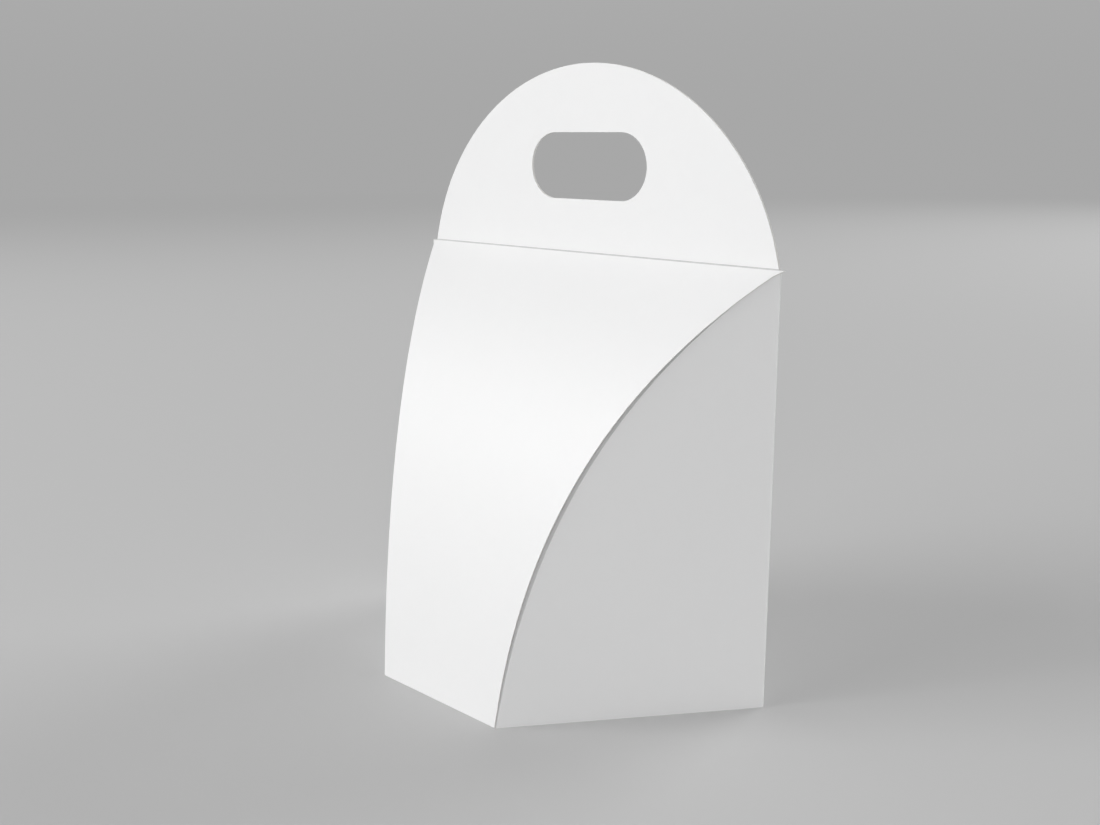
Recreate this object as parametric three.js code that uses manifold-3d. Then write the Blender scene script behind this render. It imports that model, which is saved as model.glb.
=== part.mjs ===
// Self-assembling carton of thin white card, with a curved front panel and a carrying handle.
// Millimetres. X runs along the handle's crease, the front faces -Y, +Z is up.
// The origin is on the floor, halfway between the front fold and the back panel.
import * as THREE from 'three';
import { mergeVertices } from 'three/addons/utils/BufferGeometryUtils.js';
import Module from 'manifold-3d';

// Card and clearance
const board = 0.4; // thickness of the card
const layerGap = 0.3; // air between two faces of card that lie together

// Box below the crease
const backWidth = 210; // back panel, from corner to corner
const frontWidth = 73.4; // bottom front fold
const baseDepth = 95; // from the front fold to the back panel's outer face
const creaseHeight = 188.6; // handle's crease above the floor
const sideOverhang = 1.85; // front panel's side edges past the side panels, at the crease
const cornerTip = 1.5; // pointed corners at the ends of the crease, past those edges
const cornerTipRun = 3; // length over which a side edge runs out to its tip
const bowGap = 1.6; // extra gap where the front panel bows off the side panels
const tabWidth = 8; // side panels' front edges, folded in behind the front panel

// Curve of the front panel, as the reach of its tangents at both ends
const bottomReach = 95; // height of the lower tangent
const bottomLean = 10.3; // how far the lower tangent leans back
const creaseReach = 48.7; // how far the upper tangent runs forward
const creaseDrop = 37.2; // how far the upper tangent falls

// Handle above the crease
const archHeight = 83.3; // top of the arch above the crease
const archDrop = 20.6; // centre of the arch's ellipse below the crease
const archShoulder = 0.55; // arch's foot inside the back corner, each side
const holeLength = 70; // hand hole, end to end
const holeHeight = 29.7; // hand hole, and the diameter of its round ends
const holeRise = 38.7; // centre of the hand hole above the crease

// Fineness of the round stretches
const frontSteps = 32;
const tabStart = 0; // first and last of those steps that the folded-in edges reach
const tabEnd = 29;
const archSteps = 72;
const holeSteps = 20;

const backFace = baseDepth / 2;
const frontFace = -baseDepth / 2;
const rearLayerFace = backFace - board; // near face of the back panel
const creaseFace = rearLayerFace - layerGap - board; // outer face of the front handle layer
const archFoot = backWidth / 2 - archShoulder;
const spare = 5; // how far a cutting solid runs past what it cuts

const wasm = await Module();
wasm.setup();

// Closed solid of a three.js geometry
function toSolid(geometry) {
  geometry.deleteAttribute('normal');
  geometry.deleteAttribute('uv');
  const merged = mergeVertices(geometry, 1e-4);
  const vertProperties = merged.attributes.position.array;
  const triVerts = new Uint32Array(merged.index.array);
  return new wasm.Manifold(new wasm.Mesh({ numProp: 3, vertProperties, triVerts }));
}

// Named mesh of a finished solid
function toMesh(solid, name, material) {
  const { vertProperties, triVerts } = solid.getMesh();
  const geometry = new THREE.BufferGeometry();
  geometry.setAttribute('position', new THREE.BufferAttribute(vertProperties, 3));
  geometry.setIndex(new THREE.BufferAttribute(triVerts, 1));
  geometry.computeVertexNormals();
  const mesh = new THREE.Mesh(geometry, material);
  mesh.name = name;
  return mesh;
}

function extrude(shape, depth) {
  return new THREE.ExtrudeGeometry(shape, { depth, bevelEnabled: false, curveSegments: holeSteps });
}

// Outline in X and Y, stood up between two heights
function standUp(outline, bottom, top) {
  return toSolid(extrude(new THREE.Shape(outline), top - bottom).translate(0, 0, bottom));
}

// Outline in X and Z, as a plate between two places along Y
function plate(shape, near, far) {
  return toSolid(extrude(shape, far - near).rotateX(Math.PI / 2).translate(0, far, 0));
}

// Outline in Y and Z, run along X to both sides of the middle
function runAcross(outline, halfWidth) {
  const geometry = extrude(new THREE.Shape(outline), 2 * halfWidth);
  geometry.rotateX(Math.PI / 2).rotateZ(Math.PI / 2);
  return toSolid(geometry.translate(-halfWidth, 0, 0));
}

const point = (a, b) => new THREE.Vector2(a, b);

// Both halves of an outline in X and Y that is given for +X
function mirrored(half) {
  const other = half.map((corner) => point(-corner.x, corner.y));
  return [...half, ...other.reverse()];
}

// Outer face of the front panel in Y and Z, from the bottom fold up to the crease
const frontCurve = new THREE.CubicBezierCurve(
  point(frontFace, 0),
  point(frontFace + bottomLean, bottomReach),
  point(creaseFace - creaseReach, creaseHeight - creaseDrop),
  point(creaseFace, creaseHeight),
);

// Points of the front curve moved inward, by a distance that may change along the way
function insideCurve(distanceAt) {
  const points = [];
  for (let step = 0; step <= frontSteps; step += 1) {
    const along = step / frontSteps;
    const tangent = frontCurve.getTangent(along);
    const inward = point(tangent.y, -tangent.x);
    points.push(frontCurve.getPoint(along).addScaledVector(inward, distanceAt(along)));
  }
  return points;
}

// Share of the way from the front fold to the back panel
const shareAt = (y) => (y - frontFace) / baseDepth;

// Half width between the side panels' outer faces
const sideAt = (y) => frontWidth / 2 + (shareAt(y) * (backWidth - frontWidth)) / 2;

// Half width of the front panel, which flares past the side panels on its way up
const frontHalfAt = (y) => sideAt(y) + sideOverhang * (1 - (1 - shareAt(y)) ** 2);

// Outline of the arch in X and Z, down to a foot at the given height
function archShape(foot) {
  const rise = archHeight + archDrop;
  const footAngle = Math.asin(archDrop / rise);
  const halfSpan = archFoot / Math.cos(footAngle);
  const ellipse = new THREE.EllipseCurve(
    0, creaseHeight - archDrop, halfSpan, rise, footAngle, Math.PI - footAngle);
  const outline = [point(archFoot, foot), ...ellipse.getPoints(archSteps), point(-archFoot, foot)];
  return new THREE.Shape(outline);
}

// Outline of the hand hole in X and Z, a slot with round ends
function holeShape() {
  const radius = holeHeight / 2;
  const centre = holeLength / 2 - radius;
  const height = creaseHeight + holeRise;
  const shape = new THREE.Shape();
  shape.moveTo(-centre, height - radius);
  shape.lineTo(centre, height - radius);
  shape.absarc(centre, height, radius, -Math.PI / 2, Math.PI / 2);
  shape.lineTo(-centre, height + radius);
  shape.absarc(-centre, height, radius, Math.PI / 2, 1.5 * Math.PI);
  return shape;
}

const handHole = plate(holeShape(), creaseFace - spare, backFace + spare);

// Back panel with its handle layer, two side panels with folded-in front edges, and the base
function makeBody() {
  const sideTurn = Math.atan2((backWidth - frontWidth) / 2, baseDepth);
  const wallAcross = board / Math.cos(sideTurn); // side panel's thickness measured along X
  const footprint = mirrored([
    point(sideAt(frontFace), frontFace),
    point(sideAt(backFace), backFace),
  ]);
  const hollow = mirrored([
    point(sideAt(frontFace - spare) - wallAcross, frontFace - spare),
    point(sideAt(rearLayerFace) - wallAcross, rearLayerFace),
  ]);
  const walls = standUp(footprint, 0, creaseHeight);
  const hollowed = walls.subtract(standUp(hollow, board, creaseHeight + spare));

  // The side panels end short of the front panel, most of all where it bows out
  const clearance = (along) => board + layerGap + bowGap * (4 * along * (1 - along)) ** 2;
  const edge = insideCurve(clearance);
  const behindFront = [
    point(edge[0].x, -spare),
    ...edge,
    point(rearLayerFace, creaseHeight + spare),
    point(backFace + spare, creaseHeight + spare),
    point(backFace + spare, -spare),
  ];
  const folded = hollowed.intersect(runAcross(behindFront, backWidth));

  // Their front edges turn inward, as two strips that follow the curve of the front panel
  const edgeBack = insideCurve((along) => clearance(along) + board);
  const turnedIn = [
    ...edge.slice(tabStart, tabEnd + 1),
    ...edgeBack.slice(tabStart, tabEnd + 1).reverse(),
  ];
  const between = mirrored([
    point(sideAt(frontFace - spare) - tabWidth, frontFace - spare),
    point(sideAt(rearLayerFace) - tabWidth, rearLayerFace),
  ]);
  const tabPlan = standUp(footprint, 0, creaseHeight)
    .subtract(standUp(between, -spare, creaseHeight + spare));
  const tabs = runAcross(turnedIn, backWidth).intersect(tabPlan);
  const rearHandle = plate(archShape(creaseHeight - spare), rearLayerFace, backFace);
  return folded.add(tabs).add(rearHandle).subtract(handHole);
}

// Curved front panel and its handle layer, bent from one piece of card
function makeFront() {
  const outer = frontCurve.getPoints(frontSteps);
  const inner = insideCurve(() => board);
  inner[0] = point(inner[0].x, 0);
  const rise = frontCurve.getTangent(1).multiplyScalar(spare);
  const strip = [
    ...outer,
    outer[frontSteps].clone().add(rise),
    inner[frontSteps].clone().add(rise),
    ...inner.reverse(),
  ];

  // Plan of the panel: side edges, pointed corners, and the crease between the arch's feet
  const tipStart = creaseFace - cornerTipRun;
  const edge = [];
  for (let step = 0; step <= frontSteps; step += 1) {
    const y = frontFace + (step / frontSteps) * (tipStart - frontFace);
    edge.push(point(frontHalfAt(y), y));
  }
  const plan = mirrored([
    ...edge,
    point(frontHalfAt(creaseFace) + cornerTip, creaseFace),
    point(archFoot, creaseFace),
    point(archFoot, creaseFace + board),
  ]);
  const panel = runAcross(strip, backWidth).intersect(standUp(plan, 0, creaseHeight + spare));
  const handle = plate(archShape(creaseHeight), creaseFace, creaseFace + board);
  return panel.add(handle).subtract(handHole);
}

const whiteCard = new THREE.MeshStandardMaterial({ color: 0xf4f4f3, roughness: 0.55, metalness: 0 });

const carton = new THREE.Group();
carton.add(toMesh(makeBody(), 'carton_body', whiteCard));
carton.add(toMesh(makeFront(), 'front_flap', whiteCard));

export default carton;
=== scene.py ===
# White card carton: a folded body, a curved front flap and an arched carrying handle
import math

import bmesh
import bpy
from mathutils import Matrix, Vector
from mathutils.geometry import interpolate_bezier


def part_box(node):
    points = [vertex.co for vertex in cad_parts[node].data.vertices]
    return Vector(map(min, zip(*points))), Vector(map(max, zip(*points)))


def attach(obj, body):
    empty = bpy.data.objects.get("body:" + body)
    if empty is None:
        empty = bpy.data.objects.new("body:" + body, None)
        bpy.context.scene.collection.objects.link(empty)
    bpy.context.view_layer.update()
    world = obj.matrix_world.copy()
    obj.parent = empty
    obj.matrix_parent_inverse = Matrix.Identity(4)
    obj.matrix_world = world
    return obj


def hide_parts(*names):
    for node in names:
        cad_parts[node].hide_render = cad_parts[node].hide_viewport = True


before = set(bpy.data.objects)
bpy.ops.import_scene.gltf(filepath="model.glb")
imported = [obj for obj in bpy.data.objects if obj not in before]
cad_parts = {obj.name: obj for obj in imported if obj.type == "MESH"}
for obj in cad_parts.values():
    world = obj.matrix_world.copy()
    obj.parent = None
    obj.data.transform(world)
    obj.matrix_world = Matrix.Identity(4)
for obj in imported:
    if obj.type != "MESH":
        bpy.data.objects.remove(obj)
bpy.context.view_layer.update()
bodyHigh = Vector(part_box("carton_body")[1])
flapLow = Vector(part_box("front_flap")[0])

# metres, as in the frame: x along the crease, front towards -y
card = {
    "thickness": 0.0004,
    "layerGap": 0.0003,  # air between two layers that lie together
    "foldRadius": 0.0006,  # outside of a folded edge
    "foldSegments": 4,
    "foldAngle": 0.5,  # radians; edges that turn more than this are folds
    "sharpAngle": 35,  # degrees; edges that turn more than this are shaded as cut edges
    "mergeDistance": 0.00001,
    "cutDistance": 0.0000001,
    "sameLayer": 0.00005,  # how far a point may be from a layer's inner side and belong to it
    "sideways": 0.5,  # rim faces whose normals run further along x belong to the side edges
    "faceWeight": 100,
}
frontPanel = {
    "bottomHalf": 0.0367,  # half of the bottom front fold
    "creaseHeight": 0.1886,
    "bottomReach": 0.095,  # tangents of the curve, at the bottom and at the crease
    "bottomLean": 0.0103,
    "creaseReach": 0.0487,
    "creaseDrop": 0.0372,
    "sideOverhang": 0.00185,  # side edges past the side panels, at the crease
    "cornerTip": 0.0015,  # pointed ends of the crease
    "cornerTipRun": 0.003,
    "rows": 150,
    "columns": 30,
    "lipSteps": 6,
}
handle = {
    "archDrop": 0.0206,  # centre of the ellipse below the crease
    "archShoulder": 0.00055,
    "archSegments": 360,
    "holeLength": 0.070,
    "holeHeight": 0.0297,
    "holeRise": 0.0387,
    "holeSegments": 128,
    "airBetween": 0.00002,  # the two handle layers are pressed together
}
crease = {
    "reach": 0.00042,  # half width of the pressed line and of its painted shade
    "depth": 0.00012,
    "pressed": (0, 0.896, -0.443),  # direction, into the card
    "pressedShare": 0.6,  # part of the reach that is pressed in
    "cuts": (-0.6, -0.3, 0.5, 1.0),  # rows of points along the line, in reaches from its middle
    # painted shade: grey mixed into the base colour along the crease, standing in for the
    # groove's shadow
    "colour": (0.61, 0.61, 0.61, 1),
    "fullUpTo": 0.45,  # part of the reach that keeps the full painted shade
    "shadeBreakupNoise": (900, 2, 0.5),  # scale, detail, roughness of the noise that breaks up the painted shade
    "shadeBreakupAmount": 0.5,
    "shadeBreakupBase": 0.72,
}
sidePanel = {
    "bowGap": 0.0016,  # extra gap where the front panel bows off the side panels
    "tabWidth": 0.008,  # curved front edge, folded in behind the front panel
    "tabStart": 0,  # first and last of the steps that it reaches
    "tabEnd": 87,
    "steps": 96,
}

creaseHeight = frontPanel["creaseHeight"]
frontFace = flapLow.y
backFace = bodyHigh.y
halfBack = bodyHigh.x
depth = backFace - frontFace
creaseFace = backFace - 2 * card["thickness"] - card["layerGap"]
archFoot = halfBack - handle["archShoulder"]


def sideAt(y):  # half width between the side panels
    share = (y - frontFace) / depth
    return frontPanel["bottomHalf"] + share * (halfBack - frontPanel["bottomHalf"])


def frontHalfAt(y):  # half width of the front panel, which flares past the side panels
    share = max(0.0, (y - frontFace) / depth)
    tip = max(0.0, 1 - (creaseFace - y) / frontPanel["cornerTipRun"]) * frontPanel["cornerTip"]
    return sideAt(max(y, frontFace)) + frontPanel["sideOverhang"] * (1 - (1 - share) ** 2) + tip


def frontCurve(steps):  # outer face of the front panel from the floor to the crease
    controls = [
        (frontFace, 0),
        (frontFace + frontPanel["bottomLean"], frontPanel["bottomReach"]),
        (creaseFace - frontPanel["creaseReach"], creaseHeight - frontPanel["creaseDrop"]),
        (creaseFace, creaseHeight),
    ]
    return interpolate_bezier(*(Vector((0, y, z)) for y, z in controls), steps + 1)


def drawArch(bm, y):  # open edge line of the arch, from foot to foot
    rise = bodyHigh.z - creaseHeight + handle["archDrop"]
    halfSpan = archFoot / math.sqrt(1 - (handle["archDrop"] / rise) ** 2)
    verts = bmesh.ops.create_circle(bm, segments=handle["archSegments"], radius=1)["verts"]
    place = Matrix.Translation((0, y, creaseHeight - handle["archDrop"]))
    shape = Matrix.Diagonal((halfSpan, 1, rise, 1)) @ Matrix.Rotation(math.pi / 2, 4, "X")
    bmesh.ops.transform(bm, matrix=place @ shape, verts=verts)
    edges = list({edge for vert in verts for edge in vert.link_edges})
    bmesh.ops.bisect_plane(
        bm,
        geom=verts + edges,
        plane_co=(0, 0, creaseHeight),
        plane_no=(0, 0, 1),
        clear_inner=True,
    )


def drawHole(bm, y):  # closed edge line of the hand hole, a circle pulled out to a slot
    radius = handle["holeHeight"] / 2
    pull = handle["holeLength"] / 2 - radius
    verts = bmesh.ops.create_circle(bm, segments=handle["holeSegments"], radius=radius)["verts"]
    halfStep = Matrix.Rotation(math.pi / handle["holeSegments"], 4, "Z")
    place = Matrix.Translation((0, y, creaseHeight + handle["holeRise"]))
    stand = Matrix.Rotation(math.pi / 2, 4, "X")
    bmesh.ops.transform(bm, matrix=place @ stand @ halfStep, verts=verts)
    for side in (-1, 1):
        sideVerts = [vert for vert in verts if vert.co.x * side > 0 and abs(vert.co.x) <= radius]
        bmesh.ops.translate(bm, vec=(side * pull, 0, 0), verts=sideVerts)


def drawLine(bm, points, closed=False):  # edges through the points, in order
    verts = [bm.verts.new(point) for point in points]
    pairs = list(zip(verts, verts[1:])) + ([(verts[-1], verts[0])] if closed else [])
    return [bm.edges.new(pair) for pair in pairs]


def weld(bm):
    bmesh.ops.remove_doubles(bm, verts=bm.verts, dist=card["mergeDistance"])


def faceForward(bm, outwardness):  # turns the shell so that its outer side is the outside
    bmesh.ops.recalc_face_normals(bm, faces=bm.faces)
    bm.normal_update()
    if sum(outwardness(face) * face.calc_area() for face in bm.faces) < 0:
        bmesh.ops.reverse_faces(bm, faces=bm.faces)


def pressLayers(shell, innerY, move):  # brings a handle layer's inner side up to the other layer
    for vert in shell.vertices:
        above = vert.co.z > creaseHeight + crease["reach"]
        if above and abs(vert.co.y - innerY) < card["sameLayer"]:
            vert.co.y += move


def finishPiece(bm, name, body, node, materials, innerY, towards):
    mesh = bpy.data.meshes.new(name)
    bm.to_mesh(mesh)
    bm.free()
    piece = bpy.data.objects.new(name, mesh)
    bpy.context.scene.collection.objects.link(piece)
    for material in materials:
        mesh.materials.append(material)
    wall = piece.modifiers.new("cardThickness", "SOLIDIFY")
    wall.thickness = card["thickness"]
    wall.offset = -1
    wall.use_even_offset = True
    wall.material_offset_rim = 1  # the cut edge, second of the materials
    wall.material_offset = 2  # the inside, third of them
    graph = bpy.context.evaluated_depsgraph_get()
    shell = bpy.data.meshes.new_from_object(piece.evaluated_get(graph))
    piece.modifiers.clear()
    piece.data = shell
    shell.name = name
    pressLayers(shell, innerY, towards * (card["layerGap"] - handle["airBetween"]) / 2)
    for vert in shell.vertices:  # corners stay in front of the back face and above the floor
        vert.co.y = min(vert.co.y, backFace)
        vert.co.z = max(vert.co.z, 0)
    for face in shell.polygons:  # the rim along the bottom front fold isn't a cut edge
        atBottom = face.center.z < card["foldRadius"] and abs(face.normal.x) < card["sideways"]
        if face.material_index == 1 and atBottom:
            face.material_index = 0
    shell.shade_smooth()
    shell.set_sharp_from_angle(angle=math.radians(card["sharpAngle"]))
    shading = piece.modifiers.new("flatSidesStayFlat", "WEIGHTED_NORMAL")
    shading.weight = card["faceWeight"]
    shading.keep_sharp = True
    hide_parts(node)
    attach(piece, body)
    print(name, "made,", len(shell.polygons), "faces")


def makeFrontFlap(materials):
    bm = bmesh.new()
    radius = card["foldRadius"]
    lip = []  # rounding of the bottom front fold
    for step in range(frontPanel["lipSteps"]):
        turn = step / frontPanel["lipSteps"] * math.pi / 2
        back, rise = 1 - math.sin(turn), 1 - math.cos(turn)
        lip.append(Vector((0, frontFace + radius * back, radius * rise)))
    path = lip + [point for point in frontCurve(frontPanel["rows"]) if point.z >= radius]
    rows = len(path) - 1
    columns = frontPanel["columns"]
    bmesh.ops.create_grid(bm, x_segments=columns, y_segments=rows, size=0.5)
    footInset = frontHalfAt(creaseFace) - frontPanel["cornerTip"] - archFoot
    for vert in bm.verts:
        place = path[round((vert.co.y + 0.5) * rows)]
        column = round((vert.co.x + 0.5) * columns) - columns / 2
        half = frontHalfAt(place.y)
        innerHalf = archFoot if place is path[-1] else half - footInset
        onEdge = abs(column) == columns / 2
        across = math.copysign(half, column) if onEdge else innerHalf * column / (columns / 2 - 1)
        vert.co = (across, place.y, place.z)
    drawArch(bm, creaseFace)
    drawHole(bm, creaseFace)
    weld(bm)
    lowest, widest = creaseHeight - card["mergeDistance"], archFoot + card["mergeDistance"]
    outline = [
        edge
        for edge in bm.edges
        if len(edge.link_faces) < 2
        and all(vert.co.z > lowest and abs(vert.co.x) <= widest for vert in edge.verts)
    ]
    bmesh.ops.triangle_fill(bm, use_beauty=True, edges=outline, normal=(0, -1, 0))
    for rise in crease["cuts"]:
        bmesh.ops.bisect_plane(
            bm,
            geom=[*bm.verts, *bm.edges, *bm.faces],
            plane_co=(0, 0, creaseHeight + rise * crease["reach"]),
            plane_no=(0, 0, 1),
            dist=card["cutDistance"],
        )
    for vert in bm.verts:
        away = abs(vert.co.z - creaseHeight) / (crease["reach"] * crease["pressedShare"])
        if away < 1 and abs(vert.co.x) < archFoot - crease["reach"]:
            vert.co += Vector(crease["pressed"]) * crease["depth"] * (1 - away)
    faceForward(bm, lambda face: -face.normal.y)
    innerY = creaseFace + card["thickness"]
    finishPiece(bm, "frontFlap", "lid", "front_flap", materials, innerY, 1)


def makeCartonBody(materials):
    bm = bmesh.new()
    # back panel and rear handle layer
    for side in (-1, 1):
        foot, corner = side * archFoot, side * halfBack
        levels = [(foot, creaseHeight), (corner, creaseHeight), (corner, 0), (0, 0)]
        drawLine(bm, [(across, backFace, height) for across, height in levels])
    drawArch(bm, backFace)
    drawHole(bm, backFace)
    weld(bm)
    bmesh.ops.triangle_fill(bm, use_beauty=True, edges=list(bm.edges), normal=(0, 1, 0))
    # side panels, cut short of the front panel
    curve = frontCurve(sidePanel["steps"])
    cutLine = []
    for step, point in enumerate(curve):
        along = step / sidePanel["steps"]
        before, after = curve[max(step - 1, 0)], curve[min(step + 1, len(curve) - 1)]
        tangent = (after - before).normalized()
        bow = 4 * along * (1 - along)
        gap = card["thickness"] + card["layerGap"] + sidePanel["bowGap"] * bow
        cutLine.append(point + Vector((0, tangent.z, -tangent.y)) * gap)
    cutLine[0].z = 0
    for side in (-1, 1):
        corners = [(side * halfBack, backFace, 0), (side * halfBack, backFace, creaseHeight)]
        level = (side * sideAt(cutLine[-1].y), cutLine[-1].y, creaseHeight)
        cutEdge = [(side * sideAt(point.y), point.y, point.z) for point in reversed(cutLine)]
        edges = drawLine(bm, corners + [level] + cutEdge, closed=True)
        bmesh.ops.contextual_create(bm, geom=edges)
        last = len(corners) + sidePanel["steps"]  # where the outline reaches the floor again
        foldLine = edges[last - sidePanel["tabEnd"] + 1:last - sidePanel["tabStart"] + 1]
        turned = bmesh.ops.extrude_edge_only(bm, edges=foldLine)
        verts = [part for part in turned["geom"] if isinstance(part, bmesh.types.BMVert)]
        bmesh.ops.translate(bm, vec=(-side * sidePanel["tabWidth"], 0, 0), verts=verts)
    # base
    front = cutLine[0].y
    corners = [(halfBack, backFace, 0), (0, backFace, 0), (-halfBack, backFace, 0)]
    corners += [(-sideAt(front), front, 0), (sideAt(front), front, 0)]
    bmesh.ops.contextual_create(bm, geom=drawLine(bm, corners, closed=True))
    weld(bm)
    faceForward(bm, lambda face: face.normal.y)
    folds = [
        edge
        for edge in bm.edges
        if len(edge.link_faces) == 2 and edge.calc_face_angle() > card["foldAngle"]
    ]
    bmesh.ops.bevel(
        bm,
        geom=folds,
        offset=card["foldRadius"],
        segments=card["foldSegments"],
        profile=0.5,
        affect="EDGES",
        material=-1,
        clamp_overlap=True,
    )
    innerY = backFace - card["thickness"]
    finishPiece(bm, "cartonBody", "body", "carton_body", materials, innerY, -1)


# shader groups

def newGroup(name, inputs, outputs):
    group = bpy.data.node_groups.new(name, "ShaderNodeTree")
    for label, kind, value in inputs:
        socket = group.interface.new_socket(name=label, in_out="INPUT", socket_type=kind)
        if value is not None:
            socket.default_value = value
    for label, kind in outputs:
        group.interface.new_socket(name=label, in_out="OUTPUT", socket_type=kind)
    return group, group.nodes.new("NodeGroupInput"), group.nodes.new("NodeGroupOutput")


def addNoise(nodes, links, vector, settings):
    scale, detail, roughness = settings
    noise = nodes.new("ShaderNodeTexNoise")
    noise.inputs["Scale"].default_value = scale
    noise.inputs["Detail"].default_value = detail
    noise.inputs["Roughness"].default_value = roughness
    links.new(vector, noise.inputs["Vector"])
    return noise.outputs["Fac"]


def addMath(nodes, links, operation, *values):
    node = nodes.new("ShaderNodeMath")
    node.operation = operation
    for socket, value in zip(node.inputs, values):
        if isinstance(value, (int, float)):
            socket.default_value = value
        else:
            links.new(value, socket)
    return node.outputs[0]


def addColourMix(nodes, links, first, second, share):
    mix = nodes.new("ShaderNodeMix")
    mix.data_type = "RGBA"
    for label, value in (("A", first), ("B", second)):
        if isinstance(value, tuple):
            mix.inputs[label].default_value = value
        else:
            links.new(value, mix.inputs[label])
    links.new(share, mix.inputs["Factor"])
    return mix.outputs["Result"]


paperNoise = {  # name: scale, detail, roughness
    "Clouds": (150, 3, 0.6),
    "Fibres": (2600, 4, 0.7),
    "Grain": (5200, 2, 0.5),
}
fibreStretch = (0.35, 1, 1)  # fibres lie mostly along the mill direction
mottleShares = {"Fibres": 0.4, "Clouds": 0.6}


def makePaperGroup():  # cloudy formation, fine fibres and the coating's own fine grain
    inputs = [("Vector", "NodeSocketVector", None)]
    outputs = [(name, "NodeSocketFloat") for name in paperNoise]
    group, start, end = newGroup("paperSurface", inputs, outputs)
    nodes, links = group.nodes, group.links
    position = start.outputs["Vector"]
    stretch = nodes.new("ShaderNodeMapping")
    stretch.inputs["Scale"].default_value = fibreStretch
    links.new(position, stretch.inputs["Vector"])
    for name, settings in paperNoise.items():
        place = stretch.outputs["Vector"] if name == "Fibres" else position
        links.new(addNoise(nodes, links, place, settings), end.inputs[name])
    return group


def makeCreaseShadeGroup():  # painted shade along the pressed crease line across the panel, a little broken up by noise
    inputs = [
        ("Vector", "NodeSocketVector", None),
        ("Height", "NodeSocketFloat", 0.0),
        ("Reach", "NodeSocketFloat", 0.001),
    ]
    group, start, end = newGroup("paintedCreaseShade", inputs, [("Mask", "NodeSocketFloat")])
    nodes, links = group.nodes, group.links
    split = nodes.new("ShaderNodeSeparateXYZ")
    links.new(start.outputs["Vector"], split.inputs["Vector"])
    away = addMath(nodes, links, "SUBTRACT", split.outputs["Z"], start.outputs["Height"])
    away = addMath(nodes, links, "ABSOLUTE", away)
    share = addMath(nodes, links, "DIVIDE", away, start.outputs["Reach"])
    fade = nodes.new("ShaderNodeMapRange")
    fade.interpolation_type = "SMOOTHSTEP"
    fade.inputs["From Min"].default_value = 1.0
    fade.inputs["From Max"].default_value = crease["fullUpTo"]
    links.new(share, fade.inputs["Value"])
    shadeBreakup = addNoise(nodes, links, start.outputs["Vector"], crease["shadeBreakupNoise"])
    shadeBreakup = addMath(nodes, links, "MULTIPLY", shadeBreakup, crease["shadeBreakupAmount"])
    shadeBreakup = addMath(nodes, links, "ADD", shadeBreakup, crease["shadeBreakupBase"])
    links.new(addMath(nodes, links, "MULTIPLY", fade.outputs["Result"], shadeBreakup), end.inputs["Mask"])
    return group


paperGroup = makePaperGroup()
creaseShadeGroup = makeCreaseShadeGroup()

cardLooks = {
    "coatedWhite": {
        "dark": (0.865, 0.866, 0.868),
        "light": (0.885, 0.885, 0.884),
        "roughness": (0.42, 0.50),
        "specular": 0.42,
        "grainHeight": 0.000004,
        "fibreHeight": 0.000003,
    },
    "cutEdge": {
        "dark": (0.70, 0.69, 0.67),
        "light": (0.84, 0.835, 0.82),
        "roughness": (0.85, 0.95),
        "specular": 0.15,
        "grainHeight": 0.00002,
        "fibreHeight": 0.00003,
    },
    "uncoatedInside": {
        "dark": (0.80, 0.795, 0.78),
        "light": (0.845, 0.84, 0.828),
        "roughness": (0.8, 0.92),
        "specular": 0.2,
        "grainHeight": 0.000008,
        "fibreHeight": 0.000012,
    },
}


def makeCardMaterial(name, creaseShaded=False):
    look = cardLooks[name]
    material = bpy.data.materials.new(name + ("CreaseShaded" if creaseShaded else ""))
    material.use_nodes = True
    nodes, links = material.node_tree.nodes, material.node_tree.links
    shader = nodes["Principled BSDF"]
    shader.inputs["Specular IOR Level"].default_value = look["specular"]
    coordinates = nodes.new("ShaderNodeTexCoord")
    paper = nodes.new("ShaderNodeGroup")
    paper.node_tree = paperGroup
    links.new(coordinates.outputs["Object"], paper.inputs["Vector"])
    parts = [
        addMath(nodes, links, "MULTIPLY", paper.outputs[output], share)
        for output, share in mottleShares.items()
    ]
    mottle = addMath(nodes, links, "ADD", *parts)
    colour = addColourMix(nodes, links, (*look["dark"], 1), (*look["light"], 1), mottle)
    # darkens the colour along the crease: painted shade of the pressed line
    if creaseShaded:
        line = nodes.new("ShaderNodeGroup")
        line.node_tree = creaseShadeGroup
        line.inputs["Height"].default_value = creaseHeight
        line.inputs["Reach"].default_value = crease["reach"]
        links.new(coordinates.outputs["Object"], line.inputs["Vector"])
        colour = addColourMix(nodes, links, colour, crease["colour"], line.outputs["Mask"])
    links.new(colour, shader.inputs["Base Color"])
    rough = nodes.new("ShaderNodeMapRange")
    rough.inputs["To Min"].default_value, rough.inputs["To Max"].default_value = look["roughness"]
    links.new(paper.outputs["Clouds"], rough.inputs["Value"])
    links.new(rough.outputs["Result"], shader.inputs["Roughness"])
    fine = addMath(nodes, links, "MULTIPLY", paper.outputs["Grain"], look["grainHeight"])
    coarse = addMath(nodes, links, "MULTIPLY", paper.outputs["Fibres"], look["fibreHeight"])
    bump = nodes.new("ShaderNodeBump")
    bump.inputs["Strength"].default_value = 1
    bump.inputs["Distance"].default_value = 1
    links.new(addMath(nodes, links, "ADD", fine, coarse), bump.inputs["Height"])
    links.new(bump.outputs["Normal"], shader.inputs["Normal"])
    return material


cardMaterials = [makeCardMaterial(name) for name in cardLooks]
# the front flap's white carries the painted crease shade
creaseShadedMaterials = [makeCardMaterial("coatedWhite", creaseShaded=True)] + cardMaterials[1:]
makeFrontFlap(creaseShadedMaterials)
makeCartonBody(cardMaterials)


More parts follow.
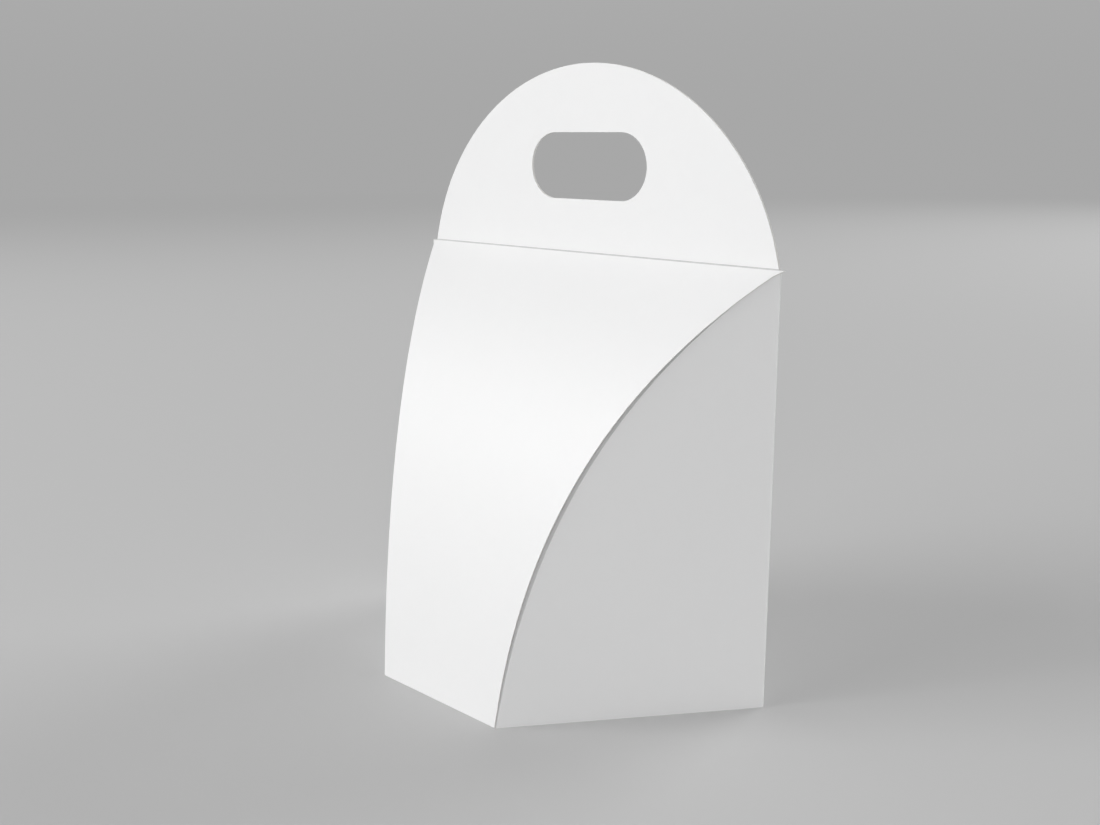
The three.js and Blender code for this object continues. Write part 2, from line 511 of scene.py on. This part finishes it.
# studio
studio = {
    "floorRadius": 30.0,
    "floorSegments": 96,
    "floorRoughness": 0.9,
    "floorNear": (0.52, 0.52, 0.52, 1),
    "floorFar": (0, 0, 0, 1),  # the far floor only glows, so it is as even as the backdrop
    "glowNear": (0.07, 0.07, 0.07, 1),
    "glowFar": (0.39, 0.39, 0.39, 1),
    "fadeFrom": 1.2,  # distances between which the one turns into the other
    "fadeTo": 5.0,
    "horizonColour": (0.32, 0.32, 0.32, 1),
    "skyColour": (0.31, 0.31, 0.31, 1),
    "skyStart": 0.28,  # height of the view direction where the sky's own colour is reached
    "backdropLow": (0.39, 0.39, 0.39, 1),  # what the camera sees behind the floor
    "backdropHigh": (0.45, 0.45, 0.45, 1),
    "aim": (0, 0, 0.13),  # what every light points at
}
lights = {  # name: place, size, power in watts
    "window": ((-2.894, -3.45, 2.73), 2.4, 103),
    "highWindow": ((-3.184, -1.838, 3.806), 2.4, 10),
    "frontLight": ((-1.672, -4.592, 1.908), 2.4, 49),
    "rightLight": ((3.497, -3.497, 1.737), 2.4, 67),
    "rearLight": ((0.6, 4.6, 1.65), 3.2, 125),
}


def makeFloor():
    bm = bmesh.new()
    segments, radius = studio["floorSegments"], studio["floorRadius"]
    bmesh.ops.create_circle(bm, cap_ends=True, segments=segments, radius=radius)
    mesh = bpy.data.meshes.new("studioFloor")
    bm.to_mesh(mesh)
    bm.free()
    floor = bpy.data.objects.new("studioFloor", mesh)
    bpy.context.scene.collection.objects.link(floor)
    material = bpy.data.materials.new("studioFloor")
    material.use_nodes = True
    nodes, links = material.node_tree.nodes, material.node_tree.links
    shader = nodes["Principled BSDF"]
    shader.inputs["Roughness"].default_value = studio["floorRoughness"]
    shader.inputs["Specular IOR Level"].default_value = 0
    shader.inputs["Emission Strength"].default_value = 1
    away = nodes.new("ShaderNodeVectorMath")
    away.operation = "LENGTH"
    links.new(nodes.new("ShaderNodeTexCoord").outputs["Object"], away.inputs[0])
    fade = nodes.new("ShaderNodeMapRange")
    fade.interpolation_type = "SMOOTHSTEP"
    fade.inputs["From Min"].default_value = studio["fadeFrom"]
    fade.inputs["From Max"].default_value = studio["fadeTo"]
    links.new(away.outputs["Value"], fade.inputs["Value"])
    for label, kind in (("Base Color", "floor"), ("Emission Color", "glow")):
        near, far = studio[kind + "Near"], studio[kind + "Far"]
        colour = addColourMix(nodes, links, near, far, fade.outputs["Result"])
        links.new(colour, shader.inputs[label])
    mesh.materials.append(material)


def makeLight(name, place, size, power):
    lamp = bpy.data.lights.new(name, "AREA")
    lamp.shape = "DISK"
    lamp.size = size
    lamp.energy = power
    light = bpy.data.objects.new(name, lamp)
    light.location = place
    towards = Vector(studio["aim"]) - Vector(place)
    light.rotation_euler = towards.to_track_quat("-Z", "Y").to_euler()
    light.visible_camera = False  # no lamp stands in the picture of any view
    bpy.context.scene.collection.objects.link(light)


photoView = {
    "place": (0.3856, -0.3683, 0.24165),
    "azimuth": 44.597,  # degrees from straight in front, towards the object's right
    "pitch": 12.713,  # degrees down
    "focalPixels": 1237.8,
    "widthPixels": 1100,
    "sensor": 36,
    "nearest": 0.01,
}


def makeCamera():
    camera = bpy.data.objects.new("photoCamera", bpy.data.cameras.new("photoCamera"))
    camera.data.sensor_width = photoView["sensor"]
    camera.data.lens = photoView["focalPixels"] / photoView["widthPixels"] * photoView["sensor"]
    camera.data.clip_start = photoView["nearest"]
    camera.location = photoView["place"]
    pitch, turn = math.radians(90 - photoView["pitch"]), math.radians(photoView["azimuth"])
    camera.rotation_euler = (pitch, 0, turn)
    bpy.context.scene.collection.objects.link(camera)
    bpy.context.scene.camera = camera


def makeWorld():  # an even soft light, with a backdrop of its own for the camera
    world = bpy.data.worlds.new("studioWorld")
    world.use_nodes = True
    nodes, links = world.node_tree.nodes, world.node_tree.links
    direction = nodes.new("ShaderNodeTexCoord")
    split = nodes.new("ShaderNodeSeparateXYZ")
    links.new(direction.outputs["Generated"], split.inputs["Vector"])
    rise = nodes.new("ShaderNodeMapRange")
    rise.interpolation_type = "SMOOTHSTEP"
    rise.inputs["From Max"].default_value = studio["skyStart"]
    links.new(split.outputs["Z"], rise.inputs["Value"])
    share = rise.outputs["Result"]
    light = addColourMix(nodes, links, studio["horizonColour"], studio["skyColour"], share)
    backdrop = addColourMix(nodes, links, studio["backdropLow"], studio["backdropHigh"], share)
    seen = nodes.new("ShaderNodeLightPath").outputs["Is Camera Ray"]
    colour = addColourMix(nodes, links, light, backdrop, seen)
    links.new(colour, nodes["Background"].inputs["Color"])
    bpy.context.scene.world = world


makeFloor()
for name, values in lights.items():
    makeLight(name, *values)
makeWorld()
bpy.context.scene.view_settings.view_transform = "Standard"
makeCamera()
print("studio made")
